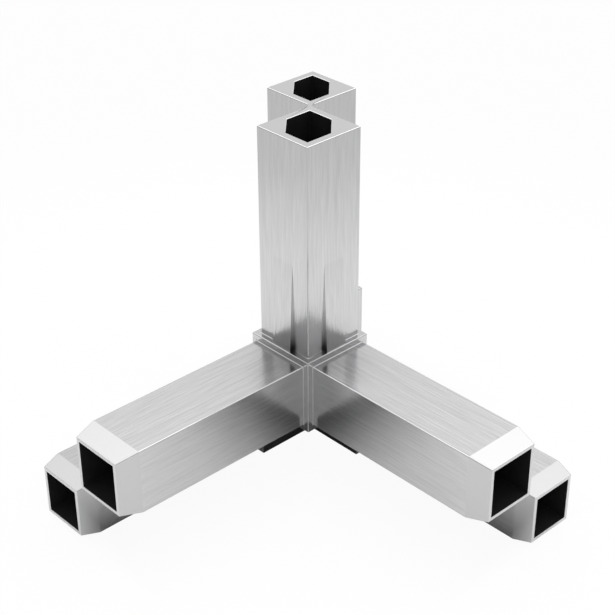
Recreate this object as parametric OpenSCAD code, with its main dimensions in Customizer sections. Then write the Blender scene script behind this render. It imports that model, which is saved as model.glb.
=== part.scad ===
// Three-way corner connector for a twin-cell square profile.
// Three arms leave one core at right angles. Each arm is a pair of hollow square spigots,
// a large front one and a slightly smaller rear one, that touch along one corner line.
// The core has the same twin section, larger by the wall of the profile, so that each
// profile pushed over an arm stops against a shoulder and ends flush with the core.
// Frame: the three corner lines meet in one point above the origin. The left arm runs
// along -Y, the right arm along +X and the upright arm along +Z. The foot is on Z = 0.

/* [Spigots] */
// Side of the large front spigot of each arm
front_side = 21; // [17:0.5:30]
// Side of the smaller rear spigot of each arm
rear_side = 19; // [16:0.5:28]
// Length of each arm, from the shoulder of the core to the open end
arm_length = 69; // [50:1:140]
// Width of the bead that joins the two spigots along their corner line
bead_width = 0.8; // [0.4:0.1:2]

/* [Bores] */
// Wall round the square bore of a front spigot
front_wall = 2.7; // [2:0.1:4]
// Wall round the square bore of a rear spigot
rear_wall = 2.5; // [2:0.1:4]
// Solid metal between the shoulder and the floor of a bore
bore_floor = 3; // [1:0.5:12]
// Leg of the two corner fillings that make the bores of the upright arm hexagons
corner_filling = 6.6; // [2:0.2:7]

/* [Tips] */
// Wall left at the very end of the tapered tips of the level arms
tip_wall = 1.2; // [0.6:0.1:1.8]
// Length of the taper on a front spigot
front_tip_length = 7.2; // [3:0.2:14]
// Length of the taper on a rear spigot
rear_tip_length = 6; // [3:0.2:14]

/* [Core] */
// Ledge round the front spigots, as thick as the wall of the profile
front_ledge = 2; // [1:0.1:4]
// Ledge round the rear spigots, as thick as the wall of the profile
rear_ledge = 2; // [1:0.1:4]

/* [Wedges] */
// Width of the wedges on the upright arm that clamp the profile
wedge_width = 7.8; // [3:0.2:14]
// Length of a wedge, from the shoulder up to where it runs out
wedge_length = 29.4; // [10:0.2:44]
// Height of a wedge over the face of the spigot, at the shoulder
wedge_rise = 1.3; // [0.4:0.1:1.8]

/* [Hidden] */
// Height of the shoulders over the corner point, on all three axes
shoulder = front_side + front_ledge;
// Distance from the corner point to the open end of each arm
arm_end = shoulder + arm_length;
// Reach of the rear shoulders behind the corner point
foot_depth = rear_side + rear_ledge;
front_bore = front_side - 2 * front_wall;
rear_bore = rear_side - 2 * rear_wall;
front_tip_drop = front_wall - tip_wall;
rear_tip_drop = rear_wall - tip_wall;
// The bead stops where the first of the two tapers begins
bead_end_level = arm_end - max(front_tip_length, rear_tip_length);
// Sunk part of joined solids, and overrun of cutters past a face
overlap = 1;
// One turn carries each arm onto the next about the diagonal of the core
diagonal = [1, 1, 1];
diagonal_turn = 120;

// Square bar from low to high in X and Y, standing from base to top
module square_bar(low, high, base, top) {
    translate([low, low, base]) cube([high - low, high - low, top - base]);
}

// Side view of a spigot whose end tapers by drop on both sides over the tip length
module tapered_side(low, high, base, tip_length, drop) {
    polygon([
        [low, base],
        [high, base],
        [high, arm_end - tip_length],
        [high - drop, arm_end],
        [low + drop, arm_end],
        [low, arm_end - tip_length]
    ]);
}

// Square spigot whose end tapers on all four sides: two crossed prisms of the side view
module tapered_spigot(low, high, tip_length, drop) {
    base = shoulder - overlap;
    intersection() {
        translate([0, high, 0]) rotate([90, 0, 0])
            linear_extrude(high - low) tapered_side(low, high, base, tip_length, drop);
        translate([low, 0, 0]) rotate([90, 0, 90])
            linear_extrude(high - low) tapered_side(low, high, base, tip_length, drop);
    }
}

// Bead along the corner line, which makes one piece of the two spigots
module corner_bead(top) {
    square_bar(-bead_width / 2, bead_width / 2, shoulder - overlap, top);
}

// Upright arm: plain square ends, and a wedge on each of its two outer faces
module upright_arm() {
    square_bar(0, front_side, shoulder - overlap, arm_end);
    square_bar(-rear_side, 0, shoulder - overlap, arm_end);
    corner_bead(arm_end);
    clamping_wedge();
    mirror([1, -1, 0]) clamping_wedge();
}

// Level arm: both spigots have tapered tips that lead the profile on
module level_arm() {
    tapered_spigot(0, front_side, front_tip_length, front_tip_drop);
    tapered_spigot(-rear_side, 0, rear_tip_length, rear_tip_drop);
    corner_bead(bead_end_level);
}

// Wedge in the middle of the outer +X face, highest at the shoulder
module clamping_wedge() {
    translate([front_side, (front_side + wedge_width) / 2, shoulder]) rotate([90, 0, 0])
        linear_extrude(wedge_width)
            polygon([
                [-overlap, -overlap],
                [wedge_rise, -overlap],
                [wedge_rise, 0],
                [0, wedge_length],
                [-overlap, wedge_length]
            ]);
}

// Square bores of one arm, open at its end and closed above the shoulder
module square_bores() {
    base = shoulder + bore_floor;
    square_bar(front_wall, front_wall + front_bore, base, arm_end + overlap);
    square_bar(-rear_wall - rear_bore, -rear_wall, base, arm_end + overlap);
}

// Hexagon: a square from low to low + side, less the two corners that are filled in
module hexagon(low, side) {
    translate([low, low]) polygon([
        [0, 0],
        [side - corner_filling, 0],
        [side, corner_filling],
        [side, side],
        [corner_filling, side],
        [0, side - corner_filling]
    ]);
}

// Hexagonal bores of the upright arm, filled in the corners beside the open quarters
module hexagonal_bores() {
    translate([0, 0, shoulder + bore_floor])
        linear_extrude(arm_length - bore_floor + overlap) {
            hexagon(front_wall, front_bore);
            hexagon(-rear_wall - rear_bore, rear_bore);
        }
}

// Core: a cube behind the front spigots and one square bar behind each rear spigot
module core() {
    square_bar(-front_ledge, shoulder, -front_ledge, shoulder);
    for (turn = [0:2])
        rotate(diagonal_turn * turn, diagonal)
            square_bar(-foot_depth, rear_ledge, -foot_depth, shoulder);
}

// The connector is one piece: its arms are worked out along the positive axes, then turned
module connector_body() {
    color("silver")
        translate([0, 0, foot_depth]) rotate([0, 0, -90])
            difference() {
                union() {
                    core();
                    upright_arm();
                    for (turn = [1:2]) rotate(diagonal_turn * turn, diagonal) level_arm();
                }
                hexagonal_bores();
                for (turn = [1:2]) rotate(diagonal_turn * turn, diagonal) square_bores();
            }
}

connector_body();
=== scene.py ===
import bmesh
import bpy
import math
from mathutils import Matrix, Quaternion, Vector


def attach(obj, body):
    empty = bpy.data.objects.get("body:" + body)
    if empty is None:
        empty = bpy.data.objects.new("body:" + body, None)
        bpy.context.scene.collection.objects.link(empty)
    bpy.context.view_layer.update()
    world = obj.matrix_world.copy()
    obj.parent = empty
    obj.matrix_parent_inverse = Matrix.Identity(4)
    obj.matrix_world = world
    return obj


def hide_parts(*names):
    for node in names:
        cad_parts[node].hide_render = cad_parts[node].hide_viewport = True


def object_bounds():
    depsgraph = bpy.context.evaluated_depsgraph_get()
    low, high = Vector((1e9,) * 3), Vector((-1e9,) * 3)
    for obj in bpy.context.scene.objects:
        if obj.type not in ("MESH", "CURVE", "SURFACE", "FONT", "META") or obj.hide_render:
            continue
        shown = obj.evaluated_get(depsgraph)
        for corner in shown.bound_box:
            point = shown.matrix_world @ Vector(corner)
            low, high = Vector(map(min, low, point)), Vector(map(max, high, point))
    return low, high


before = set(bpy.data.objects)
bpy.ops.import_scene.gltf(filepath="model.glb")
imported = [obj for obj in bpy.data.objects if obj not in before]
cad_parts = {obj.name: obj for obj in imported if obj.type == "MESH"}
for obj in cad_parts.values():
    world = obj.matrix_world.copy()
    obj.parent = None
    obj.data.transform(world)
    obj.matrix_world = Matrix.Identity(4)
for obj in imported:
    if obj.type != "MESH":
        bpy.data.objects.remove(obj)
cad_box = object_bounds()


# The connector's body is one machined piece of aluminium, brushed along each of its arms.
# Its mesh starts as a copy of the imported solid: the loose triangles are joined into flat faces
# again, each face takes its finish, and nearly every arris is broken by a small bevel.
MM = 0.001
FRONT_SPIGOT = 21 * MM
REAR_SPIGOT = 19 * MM
FRONT_WALL = 2.7 * MM
REAR_WALL = 2.5 * MM
LEDGE = 2 * MM
SHOULDER = FRONT_SPIGOT + LEDGE
ARM_END = cad_box[1][0]
# The corner lines of the arms meet as high over the foot as the foot reaches out behind them.
CORNER_POINT = Vector((0, 0, cad_box[1][1]))
# Corners closer than this are one corner, and faces that meet flatter than this are one face.
SAME_CORNER = 0.001 * MM
SAME_FACE = math.radians(0.5)


def flat_faced_copy(node, name):
    """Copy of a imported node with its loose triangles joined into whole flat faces."""
    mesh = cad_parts[node].data.copy()
    mesh.name = name
    mesh.materials.clear()
    bm = bmesh.new()
    bm.from_mesh(mesh)
    bmesh.ops.remove_doubles(bm, verts=bm.verts, dist=SAME_CORNER)
    bmesh.ops.dissolve_limit(bm, angle_limit=SAME_FACE, verts=bm.verts, edges=bm.edges)
    bm.to_mesh(mesh)
    bm.free()
    piece = bpy.data.objects.new(name, mesh)
    bpy.context.scene.collection.objects.link(piece)
    return piece


def new_material(name, color, roughness, metallic):
    """Material with its plain values on the shader's own sockets."""
    material = bpy.data.materials.new(name)
    material.use_nodes = True
    shader = material.node_tree.nodes["Principled BSDF"]
    shader.inputs["Base Color"].default_value = (*color, 1)
    shader.inputs["Roughness"].default_value = roughness
    shader.inputs["Metallic"].default_value = metallic
    return material, shader


def add_node(material, kind, **values):
    """Node of one kind, with its input sockets or its own properties set by name."""
    node = material.node_tree.nodes.new(kind)
    for key, value in values.items():
        if key.title() in node.inputs:
            node.inputs[key.title()].default_value = value
        else:
            setattr(node, key, value)
    return node


def join(material, source, target):
    """One node's output feeds an input of another."""
    material.node_tree.links.new(source, target)


def place_on_piece(material):
    """Where a point of the surface lies, in the piece's own frame."""
    return add_node(material, "ShaderNodeTexCoord").outputs["Object"]


def distance_from(material, point):
    """How far a point of the surface lies from one fixed point."""
    node = add_node(material, "ShaderNodeVectorMath", operation="DISTANCE")
    node.inputs[1].default_value = point
    join(material, place_on_piece(material), node.inputs[0])
    return node.outputs["Value"]


def grain(material, place, fineness, detail):
    """Uneven surface with so many grains to a metre."""
    node = add_node(material, "ShaderNodeTexNoise", scale=fineness, detail=detail)
    join(material, place, node.inputs["Vector"])
    return node.outputs["Fac"]


def faded(material, value, span, ends, fade="SMOOTHSTEP"):
    """Value that runs from one end to the other over a span, and is held outside it."""
    node = add_node(material, "ShaderNodeMapRange", interpolation_type=fade)
    node.inputs["From Min"].default_value, node.inputs["From Max"].default_value = span
    node.inputs["To Min"].default_value, node.inputs["To Max"].default_value = ends
    join(material, value, node.inputs["Value"])
    return node.outputs["Result"]


def toned(material, value, colors, span=(0, 1)):
    """Colour that runs from the first to the second of two colours over a span of the value."""
    node = add_node(material, "ShaderNodeValToRGB")
    for stop, color, position in zip(node.color_ramp.elements, colors, span):
        stop.position = position
        stop.color = (*color, 1)
    join(material, value, node.inputs["Fac"])
    return node.outputs["Color"]


def raise_relief(material, shader, height, strength, depth):
    """Scratches or grain stand out on the surface by a depth."""
    relief = add_node(material, "ShaderNodeBump", strength=strength, distance=depth)
    join(material, height, relief.inputs["Height"])
    join(material, relief.outputs["Normal"], shader.inputs["Normal"])


def aluminium(tone):
    """Grey of the bare metal, with its faint blue."""
    return (tone, tone, tone + 0.006)


METAL = aluminium(0.65)
BRUSHED_ROUGHNESS = 0.20
# The brush spreads reflections across its lines, a quarter turn from the tangent.
BRUSH_SPREAD = 0.75
QUARTER_TURN = 0.25
# Scratches of two sizes: how many to a metre across the brush, and their width over their length.
FINE_LINES = (2300, 0.04)
BROAD_LINES = (900, 0.018)
BROAD_SHARE = 0.28
LINE_DETAIL = 2
LINE_DEPTH = 0.045 * MM
LINE_STRENGTH = 1.0
TONE_SPREAD = 0.09
TONE_SPAN = (0.3, 0.7)
# Painted shade: the brushed metal is painted darker near the corner where the three front spigots
# meet.
SHADED_CORNER = (FRONT_SPIGOT, -FRONT_SPIGOT, 32 * MM)
CORNER_SHADE_TONE = 0.73
CORNER_SHADE_REACH = (9 * MM, 26 * MM)


def brushed_metal(name, along, color):
    """Aluminium with fine scratches along one axis of the piece: 0 is X, 1 is Y and 2 is Z. It is
    painted darker near the inner corner, as shade.
    """
    material, shader = new_material(name, color, BRUSHED_ROUGHNESS, 1.0)
    shader.inputs["Anisotropic"].default_value = BRUSH_SPREAD
    shader.inputs["Anisotropic Rotation"].default_value = QUARTER_TURN
    height = add_node(material, "ShaderNodeMix", data_type="FLOAT")
    height.inputs["Factor"].default_value = BROAD_SHARE
    for (fineness, stretch), share in ((FINE_LINES, "A"), (BROAD_LINES, "B")):
        drawn_out = add_node(material, "ShaderNodeMapping")
        drawn_out.inputs["Scale"].default_value = [stretch if i == along else 1 for i in range(3)]
        join(material, place_on_piece(material), drawn_out.inputs["Vector"])
        lines = grain(material, drawn_out.outputs["Vector"], fineness, LINE_DETAIL)
        join(material, lines, height.inputs[share])
    height = height.outputs["Result"]
    colors = [[(1 + change) * c for c in color] for change in (-TONE_SPREAD, TONE_SPREAD)]
    shaded = add_node(material, "ShaderNodeVectorMath", operation="SCALE")
    join(material, toned(material, height, colors, TONE_SPAN), shaded.inputs[0])
    # Painted shade: darker near the corner where the front spigots meet.
    shade = faded(material, distance_from(material, SHADED_CORNER), CORNER_SHADE_REACH, (CORNER_SHADE_TONE, 1))
    join(material, shade, shaded.inputs["Scale"])
    join(material, shaded.outputs["Vector"], shader.inputs["Base Color"])
    raise_relief(material, shader, height, LINE_STRENGTH, LINE_DEPTH)
    direction = add_node(material, "ShaderNodeCombineXYZ")
    direction.inputs["XYZ"[along]].default_value = 1
    join(material, direction.outputs["Vector"], shader.inputs["Tangent"])
    return material


GRAIN_FINENESS = 1800
GRAIN_DETAIL = 3
GRAIN_DEPTH = 0.02 * MM
GRAIN_STRENGTH = 0.5


def ground_metal(name, color, roughness):
    """Cut and milled metal, and its lighter and darker copies with painted light and shade: a fine
    grain without a direction.
    """
    material, shader = new_material(name, color, roughness, 1.0)
    height = grain(material, place_on_piece(material), GRAIN_FINENESS, GRAIN_DETAIL)
    raise_relief(material, shader, height, GRAIN_STRENGTH, GRAIN_DEPTH)
    return material


DARK_ROUGHNESS = 0.6
DARK_SHINE = 0.2


def painted_shade_metal(name, tones, fineness):
    """Near-black colour painted in for shade in hollows, in blotches between two greys."""
    material, shader = new_material(name, (tones[1],) * 3, DARK_ROUGHNESS, 0.0)
    shader.inputs["Specular IOR Level"].default_value = DARK_SHINE
    blotches = grain(material, place_on_piece(material), fineness, GRAIN_DETAIL)
    colors = [(tone,) * 3 for tone in tones]
    join(material, toned(material, blotches, colors), shader.inputs["Base Color"])
    return material


FLANK_ROUGHNESS = 0.3
FLANK_PAINTED_SHADE = (0.02, 0.02, 0.02)
# Heights over the corner point between which a flank's painted shade turns from black to bare metal.
FLANK_SHADE_SPAN = (24 * MM, 38 * MM)


def flank_metal(name):
    """Steep flanks of the wedges: bare metal, painted black as shade where the flank runs down to
    the shoulder.
    """
    material, shader = new_material(name, METAL, FLANK_ROUGHNESS, 1.0)
    place = add_node(material, "ShaderNodeSeparateXYZ")
    join(material, place_on_piece(material), place.inputs["Vector"])
    span = [CORNER_POINT.z + height for height in FLANK_SHADE_SPAN]
    climb = faded(material, place.outputs["Z"], span, (0, 1), "LINEAR")
    join(material, toned(material, climb, (FLANK_PAINTED_SHADE, METAL)), shader.inputs["Base Color"])
    return material


CUT_TONE = 0.62
# The level arms' end faces are the same cut metal as the upright's end, painted lighter as painted
# light.
TIP_END_LIGHT_TONE = 0.75
CUT_ROUGHNESS = 0.5
# Broken arrises that look up are painted lighter, as a painted highlight.
ARRIS_HIGHLIGHT_TONE = 0.90
ARRIS_HIGHLIGHT_ROUGHNESS = 0.15
# The tapers of the rear spigots and the side tapers are painted darker than the top tapers, as
# painted shade.
REAR_TAPER_SHADE_TONE = 0.55
SIDE_TAPER_SHADE_TONE = 0.60
MILLED_ROUGHNESS = 0.22
# The rear spigots' tops are painted darker as shade: on the right arm first, and then on the left
# one.
REAR_TOP_SHADE_TONES = (0.61, 0.55)
# The bores' insides are painted near black as shade.
BORE_SHADE_TONES = (0.006, 0.016)
BORE_FINENESS = 300
# The foot's inner faces under the arms are painted near black as shade.
UNDERSIDE_SHADE_TONES = (0.024, 0.06)
UNDERSIDE_SHADE_FINENESS = 600

body = flat_faced_copy("connector_body", "brushed_connector")
finishes = [
    *(brushed_metal("brushed_along_" + "xyz"[i], i, METAL) for i in range(3)),
    ground_metal("cut_ends", aluminium(CUT_TONE), CUT_ROUGHNESS),
    painted_shade_metal("shaded_bore_insides", BORE_SHADE_TONES, BORE_FINENESS),
    flank_metal("shaded_wedge_flanks"),
    painted_shade_metal("shaded_underside", UNDERSIDE_SHADE_TONES, UNDERSIDE_SHADE_FINENESS),
    ground_metal("highlighted_arrises", aluminium(ARRIS_HIGHLIGHT_TONE), ARRIS_HIGHLIGHT_ROUGHNESS),
    ground_metal("lightened_tip_ends", aluminium(TIP_END_LIGHT_TONE), CUT_ROUGHNESS),
    ground_metal("milled_tops", METAL, MILLED_ROUGHNESS),
    ground_metal("shaded_milled_rear_tops", aluminium(REAR_TAPER_SHADE_TONE), MILLED_ROUGHNESS),
    ground_metal("shaded_milled_sides", aluminium(SIDE_TAPER_SHADE_TONE), MILLED_ROUGHNESS),
    *(
        brushed_metal("shaded_rear_tops_along_" + "xyz"[i], i, aluminium(REAR_TOP_SHADE_TONES[i]))
        for i in range(2)
    ),
]
for finish in finishes:
    body.data.materials.append(finish)
finish_names = [finish.name for finish in finishes]

# A face lies in a plane when it is this near to it. It looks square along an axis, or slopes
# towards it, when more than this share of its normal points that way.
NEAR = 0.1 * MM
SQUARE_ON = 0.9
SLOPING = 0.1
BORE_SPANS = (
    (FRONT_WALL - NEAR, FRONT_SPIGOT - FRONT_WALL + NEAR),
    (REAR_WALL - REAR_SPIGOT - NEAR, NEAR - REAR_WALL),
)


def finish_of(face):
    """Name of a face's finish, from its place on the arms and the way it looks."""
    centre = face.calc_center_median() - CORNER_POINT
    reach = Vector((centre.x, -centre.y, centre.z))
    looks = Vector((face.normal.x, -face.normal.y, face.normal.z))
    axis = max(range(3), key=lambda i: reach[i])
    across = [reach[i] for i in range(3) if i != axis]
    if reach[axis] < SHOULDER + NEAR:
        inner = any(looks[i] > SQUARE_ON and abs(reach[i] - LEDGE) < NEAR for i in range(2))
        # The foot's inner faces below the corner point take a near-black painted shade.
        if inner and reach.z < 0:
            return "shaded_underside"
        return "brushed_along_z" if abs(looks.x) > SQUARE_ON else "brushed_along_x"
    if reach[axis] > ARM_END - NEAR:
        return "cut_ends" if axis == 2 else "lightened_tip_ends"
    if any(all(low < c < high for c in across) for low, high in BORE_SPANS):
        return "shaded_bore_insides"
    if axis == 2 and max(across) > FRONT_SPIGOT + NEAR:
        outward = 0 if across[0] > across[1] else 1
        if abs(looks[1 - outward]) > SQUARE_ON:
            return "shaded_wedge_flanks"
    on_rear = reach.z < NEAR
    if looks[axis] > SLOPING:
        if looks.z < SQUARE_ON:
            return "shaded_milled_sides"
        return "shaded_milled_rear_tops" if on_rear else "milled_tops"
    if looks.z > SQUARE_ON and on_rear:
        return "shaded_rear_tops_along_" + "xyz"[axis]
    return "brushed_along_" + "xyz"[axis]


# Half the width of the bead between two spigots, with room to spare.
BEAD = 0.5 * MM
# An arris looks up when more than this share of its normal points to the sky.
SKYWARD = 0.3


def takes_painted_highlight(face):
    """Whether a broken arris looks up and takes a painted highlight: on the upright, or along a
    level front spigot.
    """
    place = face.calc_center_median() - CORNER_POINT
    level = max(place.x, -place.y)
    on_arm = max(level, place.z) > SHOULDER + BEAD and place.z > BEAD
    return on_arm and level < ARM_END - BEAD and face.normal.z > SKYWARD


def on_bead(vert):
    """Whether a corner lies on the thin bead between two spigots."""
    return sum(abs(c) < BEAD for c in vert.co - CORNER_POINT) >= 2


ARRIS = 0.24 * MM
ARRIS_STEPS = 2
ARRIS_ANGLE = math.radians(20)
STOP_SHORT = 1 * MM

bm = bmesh.new()
bm.from_mesh(body.data)
for face in bm.faces:
    face.material_index = finish_names.index(finish_of(face))
# The beads and the wedges' flanks stay sharp, and the broken arrises stop just short of them.
flanks = finish_names.index("shaded_wedge_flanks")
sharp = {vert for face in bm.faces if face.material_index == flanks for vert in face.verts}
sharp.update(vert for vert in bm.verts if on_bead(vert))
for edge in list(bm.edges):
    ends = [vert for vert in edge.verts if vert in sharp]
    if len(ends) == 1 and edge.calc_face_angle() > ARRIS_ANGLE:
        bmesh.utils.edge_split(edge, ends[0], STOP_SHORT / edge.calc_length())
arrises = [
    edge for edge in bm.edges
    if edge.calc_face_angle() > ARRIS_ANGLE and not any(vert in sharp for vert in edge.verts)
]
broken = bmesh.ops.bevel(
    bm, geom=arrises, offset=ARRIS, offset_type="OFFSET", affect="EDGES", segments=ARRIS_STEPS,
    profile=0.5, material=-1, clamp_overlap=True, loop_slide=False,
)
for face in broken["faces"]:
    sides = sorted(face.edges, key=lambda edge: edge.calc_length())[-2:]
    outer = all(edge.calc_face_angle_signed(0) > 0 for edge in sides)
    in_bore = face.material_index == finish_names.index("shaded_bore_insides")
    if outer and takes_painted_highlight(face) and not in_bore:
        face.material_index = finish_names.index("highlighted_arrises")
bm.to_mesh(body.data)
bm.free()
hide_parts("connector_body")
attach(body, "root")


# The floor is a pale matt board that carries the part. The camera sees it all but white, and the
# metal sees a share of that white, the part's soft shadow deepened by a painted shadow under the
# arms, and a painted falloff of light that leaves the board darker far out.
BOARD_SIZE = 6
BOARD_ROUGHNESS = 0.9
BOARD_NEAR = 0.94
PAINTED_FALLOFF_FAR = 0.68
# Painted falloff of light: the board is painted darker between these distances from its centre.
PAINTED_FALLOFF_SPAN = (120 * MM, 260 * MM)
PAINTED_LIGHT_CENTRE = (-15 * MM, 15 * MM, 0)
# Painted shadow under the two level arms: the board's shares of brightness at three distances from
# the arms' lines. The painted shadow fades out past the tips of the arms and behind the core.
ARM_SHADOW_SHARES = (0.05, 0.55, 1)
ARM_SHADOW_REACH = (2 * MM, 12 * MM, 36 * MM)
PAST_TIPS = (80 * MM, 93 * MM)
BEHIND_CORE = (25 * MM, 60 * MM)
WHITE_TO_CAMERA = 0.95
WHITE_TO_METAL = 0.08


def worked_out(material, operation, *values):
    """Result of one sum, on sockets or plain numbers."""
    node = add_node(material, "ShaderNodeMath", operation=operation)
    for socket, value in zip(node.inputs, values):
        if isinstance(value, (int, float)):
            socket.default_value = value
        else:
            join(material, value, socket)
    return node.outputs["Value"]


def white_share(material, to_camera):
    """How much of a ray sees the plain white background: camera rays, then glossy and clear ones."""
    rays = add_node(material, "ShaderNodeLightPath").outputs
    mirrored = worked_out(material, "MAXIMUM", rays["Is Glossy Ray"], rays["Is Transmission Ray"])
    in_metal = worked_out(material, "MULTIPLY", mirrored, WHITE_TO_METAL)
    return worked_out(material, "MULTIPLY_ADD", rays["Is Camera Ray"], to_camera, in_metal)


bpy.ops.mesh.primitive_plane_add(size=BOARD_SIZE)
floor = bpy.context.object
floor.name = "studio_floor"
board, shader = new_material("pale_board", (BOARD_NEAR,) * 3, BOARD_ROUGHNESS, 0.0)
shader.inputs["Specular IOR Level"].default_value = 0.0
# Painted falloff of light: darker further from the part.
outward = faded(board, distance_from(board, PAINTED_LIGHT_CENTRE), PAINTED_FALLOFF_SPAN, (BOARD_NEAR, PAINTED_FALLOFF_FAR))
place = add_node(board, "ShaderNodeSeparateXYZ")
join(board, place_on_piece(board), place.inputs["Vector"])
rightwards, backwards = place.outputs["X"], place.outputs["Y"]
# Painted shadow under the level arms, on top of the shadow the part casts.
from_arm = worked_out(
    board, "MINIMUM", worked_out(board, "ABSOLUTE", rightwards),
    worked_out(board, "ABSOLUTE", backwards),
)
close_by = faded(board, from_arm, ARM_SHADOW_REACH[:2], ARM_SHADOW_SHARES[:2], "LINEAR")
further_out = faded(
    board, from_arm, ARM_SHADOW_REACH[1:], (0, ARM_SHADOW_SHARES[2] - ARM_SHADOW_SHARES[1]), "LINEAR",
)
arm_shadow = worked_out(board, "ADD", close_by, further_out)
behind = worked_out(
    board, "MAXIMUM", worked_out(board, "MULTIPLY", rightwards, -1), backwards,
)
ahead = worked_out(
    board, "MAXIMUM", rightwards, worked_out(board, "MULTIPLY", backwards, -1),
)
past_arms = worked_out(
    board, "MAXIMUM", faded(board, behind, BEHIND_CORE, (0, 1)),
    faded(board, ahead, PAST_TIPS, (0, 1)),
)
shadowed_share = worked_out(board, "MAXIMUM", arm_shadow, past_arms)
join(board, worked_out(board, "MULTIPLY", outward, shadowed_share), shader.inputs["Base Color"])
glow = add_node(board, "ShaderNodeEmission", strength=1.0)
blend = add_node(board, "ShaderNodeMixShader")
join(board, white_share(board, WHITE_TO_CAMERA), blend.inputs["Fac"])
join(board, shader.outputs["BSDF"], blend.inputs[1])
join(board, glow.outputs["Emission"], blend.inputs[2])
join(board, blend.outputs["Shader"], board.node_tree.nodes["Material Output"].inputs["Surface"])
floor.data.materials.append(board)


# The surroundings are white to the camera. The metal sees a wide soft ceiling over greyer walls.
# Each row is the sine of an elevation, the brightness there in front and behind, and the brightness
# at the left and right, where dark screens stand below the ceiling. The right is lit the more.
STUDIO = (
    (0.00, 0.74, 0.25),
    (0.36, 0.74, 0.35),
    (0.44, 0.72, 0.14),
    (0.52, 0.78, 0.14),
    (0.56, 0.90, 0.28),
    (0.60, 0.97, 1.45),
    (0.66, 1.20, 1.68),
    (0.70, 1.66, 1.60),
    (0.80, 1.48, 1.55),
    (0.88, 1.50, 1.55),
    (0.95, 1.05, 1.05),
    (1.00, 0.95, 0.95),
)
BRIGHTEST = 1.7
SCREENS = (0.35, 0.70)
RIGHT_LEAN = 0.20
TO_THE_RIGHT = (math.sqrt(0.5), math.sqrt(0.5), 0)
world = bpy.data.worlds.new("studio")
bpy.context.scene.world = world
world.use_nodes = True
world.node_tree.nodes.clear()
ray = add_node(world, "ShaderNodeTexCoord").outputs["Generated"]
elevation = add_node(world, "ShaderNodeSeparateXYZ")
join(world, ray, elevation.inputs["Vector"])


def by_height(column):
    """Share of the greatest brightness at a ray's elevation, from one column of the table."""
    node = add_node(world, "ShaderNodeValToRGB")
    stops = node.color_ramp.elements
    while len(stops) < len(STUDIO):
        stops.new(0.5)
    for stop, row in zip(stops, STUDIO):
        stop.position = row[0]
    for stop, row in zip(stops, STUDIO):
        stop.color = (row[column] / BRIGHTEST,) * 3 + (1,)
    join(world, elevation.outputs["Z"], node.inputs["Fac"])
    return node.outputs["Color"]


rightward = add_node(world, "ShaderNodeVectorMath", operation="DOT_PRODUCT")
rightward.inputs[1].default_value = TO_THE_RIGHT
join(world, ray, rightward.inputs[0])
aside = worked_out(world, "ABSOLUTE", rightward.outputs["Value"])
level = add_node(world, "ShaderNodeMix", data_type="FLOAT")
join(world, faded(world, aside, SCREENS, (0, 1)), level.inputs["Factor"])
join(world, by_height(1), level.inputs["A"])
join(world, by_height(2), level.inputs["B"])
studio = add_node(world, "ShaderNodeBackground")
join(world, level.outputs["Result"], studio.inputs["Color"])
leaning = worked_out(
    world, "MULTIPLY_ADD", rightward.outputs["Value"], BRIGHTEST * RIGHT_LEAN, BRIGHTEST,
)
join(world, leaning, studio.inputs["Strength"])
backdrop = add_node(world, "ShaderNodeBackground", color=(1, 1, 1, 1))
seen = add_node(world, "ShaderNodeMixShader")
join(world, white_share(world, 1.0), seen.inputs["Fac"])
join(world, studio.outputs["Background"], seen.inputs[1])
join(world, backdrop.outputs["Background"], seen.inputs[2])
output = add_node(world, "ShaderNodeOutputWorld")
join(world, seen.outputs["Shader"], output.inputs["Surface"])


# The camera stands at the photograph's angle, above the open corner between the three arms.
# Its place, aim and lens come from the fit of the photograph that gave the part its proportions.
CAMERA_PLACE = Vector((292.18, -274.98, 282.85)) * MM
CAMERA_TARGET = Vector((23.61, -23.61, 64.10)) * MM
CAMERA_ROLL = math.radians(-0.305)
CAMERA_LENS = 86.47
SENSOR_WIDTH = 36
camera_data = bpy.data.cameras.new("photo_camera")
camera_data.lens = CAMERA_LENS
camera_data.sensor_width = SENSOR_WIDTH
camera_data.sensor_fit = "HORIZONTAL"
camera = bpy.data.objects.new("photo_camera", camera_data)
camera.location = CAMERA_PLACE
camera.rotation_mode = "QUATERNION"
look = (CAMERA_TARGET - CAMERA_PLACE).to_track_quat("-Z", "Y")
camera.rotation_quaternion = look @ Quaternion((0, 0, 1), CAMERA_ROLL)
bpy.context.scene.collection.objects.link(camera)
bpy.context.scene.camera = camera
bpy.context.scene.view_settings.view_transform = "Standard"
